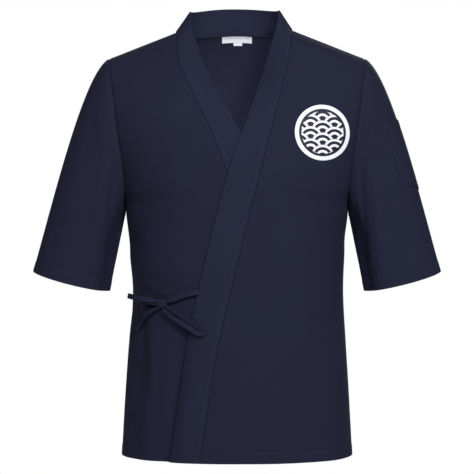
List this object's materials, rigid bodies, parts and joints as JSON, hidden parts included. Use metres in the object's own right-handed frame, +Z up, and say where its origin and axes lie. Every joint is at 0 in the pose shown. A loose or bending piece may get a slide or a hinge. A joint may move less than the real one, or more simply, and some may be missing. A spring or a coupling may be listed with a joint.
{
  "type": "japanese chef jacket",
  "caption": "Short-sleeved crossover jacket in plain dark cloth with a straight neck band, a side tie bow and a sleeve pen pocket, filled out and hollow.",
  "frame": {"origin": "inside the neck opening, midway between the two armholes, in the plane of the two shoulder seams and about 8 mm under the height where the neck band meets them, where the wearer's neck and shoulders hold the jacket up", "axes": "+Z up along the body, +X towards the wearer's left, the wearer faces -Y"},
  "size_m": [0.6898, 0.2659, 0.7628],
  "materials": {
    "cloth": "matt dark navy poly-cotton twill",
    "band_cloth": "matt dark navy poly-cotton twill, folded and pressed",
    "tie_cloth": "matt dark navy poly-cotton, folded strips",
    "label_cloth": "white woven tape with a slight sheen, bare"
  },
  "bodies": {
    "root": {"back": "cloth", "front_left": "cloth", "front_right": "cloth", "sleeve_left": "cloth", "sleeve_right": "cloth", "band_left": "band_cloth", "band_right": "band_cloth", "band_back": "band_cloth", "pen_pocket": "cloth", "neck_label": "label_cloth", "size_tab": "label_cloth", "tie_outer": "tie_cloth", "tie_side": "tie_cloth", "tie_knot": "tie_cloth", "tie_loop_left": "tie_cloth", "tie_loop_right": "tie_cloth", "tie_tail_upper": "tie_cloth", "tie_tail_lower": "tie_cloth"}
  },
  "joints": []
}
